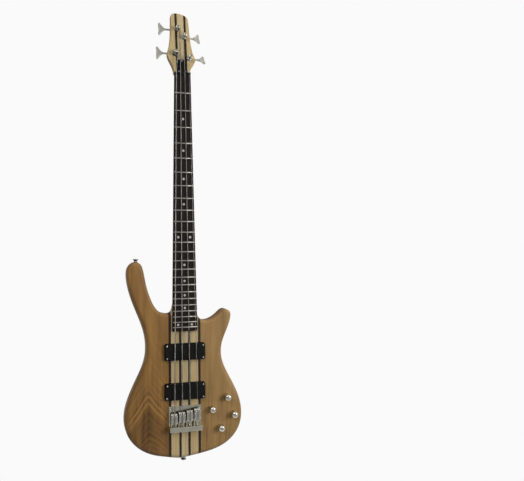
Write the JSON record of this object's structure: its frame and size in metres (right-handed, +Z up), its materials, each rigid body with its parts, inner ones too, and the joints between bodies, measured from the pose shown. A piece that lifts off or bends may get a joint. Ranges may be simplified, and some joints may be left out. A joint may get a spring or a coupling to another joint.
{
  "type": "electric bass guitar",
  "caption": "Neck-through electric bass guitar with laminated core, two wings, geared tuners, adjustable bridge, soapbar pickups and turning knobs.",
  "frame": {"origin": "centre of the lower strap button's outer face, on the body's middle plane", "axes": "+Z up along the neck, -Y out of the front (strings) face, +X to the treble side"},
  "size_m": [0.3091, 0.0811, 1.1632],
  "materials": {
    "maple": "satin oil",
    "dark_veneer": "satin oil",
    "walnut": "satin oil",
    "rosewood": "open pore",
    "black_plastic": "satin",
    "fret_wire": "polished",
    "pearl": "pearl",
    "steel": "brushed",
    "chrome": "polished",
    "string_wire": "wound",
    "screw_steel": "polished",
    "coil_wire": "wound",
    "magnet": "matte",
    "circuit_board": "matte",
    "battery_case": "satin",
    "clip_plastic": "matte"
  },
  "bodies": {
    "instrument": {"neck_center_strip": "maple", "neck_side_strips": "maple", "inner_stripes": "dark_veneer", "outer_stripes": "dark_veneer", "bass_wing": "walnut", "treble_wing": "walnut", "fretboard": "rosewood", "nut": "black_plastic", "truss_rod_cover": "black_plastic", "neck_pickup_cover": "black_plastic", "bridge_pickup_cover": "black_plastic", "control_cover": "black_plastic", "battery_cover": "black_plastic", "frets": "fret_wire", "inlay_dots": "pearl", "truss_rod": "steel", "pots": "steel", "tuner_housings": "chrome", "tuner_bushings": "chrome", "bridge_plate": "chrome", "pot_nuts": "chrome", "strap_buttons": "chrome", "output_jack": "chrome", "string_e": "string_wire", "string_a": "string_wire", "string_d": "string_wire", "string_g": "string_wire", "bridge_screws": "screw_steel", "pickup_screws": "screw_steel", "cover_screws": "screw_steel", "tuner_screws": "screw_steel", "pickup_coils": "coil_wire", "pickup_magnets": "magnet", "preamp_board": "circuit_board", "battery": "battery_case", "battery_clip": "clip_plastic"},
    "tuner_key_e": {"tuner_key_e": "chrome"},
    "tuner_post_e": {"tuner_post_e": "chrome"},
    "tuner_key_a": {"tuner_key_a": "chrome"},
    "tuner_post_a": {"tuner_post_a": "chrome"},
    "tuner_key_d": {"tuner_key_d": "chrome"},
    "tuner_post_d": {"tuner_post_d": "chrome"},
    "tuner_key_g": {"tuner_key_g": "chrome"},
    "tuner_post_g": {"tuner_post_g": "chrome"},
    "control_1": {"knob_1": "chrome", "pot_shaft_1": "steel"},
    "control_2": {"knob_2": "chrome", "pot_shaft_2": "steel"},
    "control_3": {"knob_3": "chrome", "pot_shaft_3": "steel"},
    "control_4": {"knob_4": "chrome", "pot_shaft_4": "steel"},
    "intonation_screw_e": {"intonation_screw_e": "screw_steel"},
    "saddle_e": {"saddle_e": "chrome"},
    "intonation_screw_a": {"intonation_screw_a": "screw_steel"},
    "saddle_a": {"saddle_a": "chrome"},
    "intonation_screw_d": {"intonation_screw_d": "screw_steel"},
    "saddle_d": {"saddle_d": "chrome"},
    "intonation_screw_g": {"intonation_screw_g": "screw_steel"},
    "saddle_g": {"saddle_g": "chrome"}
  },
  "joints": [
    {"name": "key_turn_e", "type": "hinge", "parent": "instrument", "child": "tuner_key_e", "pos_m": [-0.0172, 0.02269, 1.05683], "axis": [-1, 0, 0], "continuous": true},
    {"name": "post_turn_e", "type": "hinge", "parent": "instrument", "child": "tuner_post_e", "pos_m": [-0.0172, 0.00237, 1.0506], "axis": [0, -0.9895, 0.1444], "continuous": true},
    {"name": "key_turn_a", "type": "hinge", "parent": "instrument", "child": "tuner_key_a", "pos_m": [-0.0095, 0.03245, 1.12373], "axis": [-1, 0, 0], "continuous": true},
    {"name": "post_turn_a", "type": "hinge", "parent": "instrument", "child": "tuner_post_a", "pos_m": [-0.0095, 0.01213, 1.11749], "axis": [0, -0.9895, 0.1444], "continuous": true},
    {"name": "key_turn_d", "type": "hinge", "parent": "instrument", "child": "tuner_key_d", "pos_m": [0.0095, 0.02956, 1.10396], "axis": [1, 0, 0], "continuous": true},
    {"name": "post_turn_d", "type": "hinge", "parent": "instrument", "child": "tuner_post_d", "pos_m": [0.0095, 0.00925, 1.09772], "axis": [0, -0.9895, 0.1444], "continuous": true},
    {"name": "key_turn_g", "type": "hinge", "parent": "instrument", "child": "tuner_key_g", "pos_m": [0.0215, 0.02103, 1.04547], "axis": [1, 0, 0], "continuous": true},
    {"name": "post_turn_g", "type": "hinge", "parent": "instrument", "child": "tuner_post_g", "pos_m": [0.0215, 0.00072, 1.03923], "axis": [0, -0.9895, 0.1444], "continuous": true},
    {"name": "knob_turn_1", "type": "hinge", "parent": "instrument", "child": "control_1", "pos_m": [0.11186, -0.02, 0.1606], "axis": [0, 1, 0], "range_deg": [-150, 150]},
    {"name": "knob_turn_2", "type": "hinge", "parent": "instrument", "child": "control_2", "pos_m": [0.07107, -0.02, 0.13243], "axis": [0, 1, 0], "range_deg": [-150, 150]},
    {"name": "knob_turn_3", "type": "hinge", "parent": "instrument", "child": "control_3", "pos_m": [0.13009, -0.02, 0.11483], "axis": [0, 1, 0], "range_deg": [-150, 150]},
    {"name": "knob_turn_4", "type": "hinge", "parent": "instrument", "child": "control_4", "pos_m": [0.09455, -0.02, 0.08264], "axis": [0, 1, 0], "range_deg": [-150, 150]},
    {"name": "intonation_turn_e", "type": "hinge", "parent": "instrument", "child": "intonation_screw_e", "pos_m": [-0.03, -0.0278, 0.085], "axis": [0, 0, 1], "range_deg": [-2160.5, 2160.5]},
    {"name": "saddle_slide_e", "type": "slide", "parent": "instrument", "child": "saddle_e", "axis": [0, 0, 1], "range_m": [-0.003, 0.003]},
    {"name": "intonation_turn_a", "type": "hinge", "parent": "instrument", "child": "intonation_screw_a", "pos_m": [-0.01, -0.0278, 0.085], "axis": [0, 0, 1], "range_deg": [-2160.5, 2160.5]},
    {"name": "saddle_slide_a", "type": "slide", "parent": "instrument", "child": "saddle_a", "axis": [0, 0, 1], "range_m": [-0.003, 0.003]},
    {"name": "intonation_turn_d", "type": "hinge", "parent": "instrument", "child": "intonation_screw_d", "pos_m": [0.01, -0.0278, 0.085], "axis": [0, 0, 1], "range_deg": [-2160.5, 2160.5]},
    {"name": "saddle_slide_d", "type": "slide", "parent": "instrument", "child": "saddle_d", "axis": [0, 0, 1], "range_m": [-0.003, 0.003]},
    {"name": "intonation_turn_g", "type": "hinge", "parent": "instrument", "child": "intonation_screw_g", "pos_m": [0.03, -0.0278, 0.085], "axis": [0, 0, 1], "range_deg": [-2160.5, 2160.5]},
    {"name": "saddle_slide_g", "type": "slide", "parent": "instrument", "child": "saddle_g", "axis": [0, 0, 1], "range_m": [-0.003, 0.003]}
  ],
  "couplings": [
    {"joint": "post_turn_e", "follows": "key_turn_e", "ratio": -0.05},
    {"joint": "post_turn_a", "follows": "key_turn_a", "ratio": -0.05},
    {"joint": "post_turn_d", "follows": "key_turn_d", "ratio": 0.05},
    {"joint": "post_turn_g", "follows": "key_turn_g", "ratio": 0.05},
    {"joint": "intonation_turn_e", "follows": "saddle_slide_e", "rad_per_m": -12566},
    {"joint": "intonation_turn_a", "follows": "saddle_slide_a", "rad_per_m": -12566},
    {"joint": "intonation_turn_d", "follows": "saddle_slide_d", "rad_per_m": -12566},
    {"joint": "intonation_turn_g", "follows": "saddle_slide_g", "rad_per_m": -12566}
  ]
}
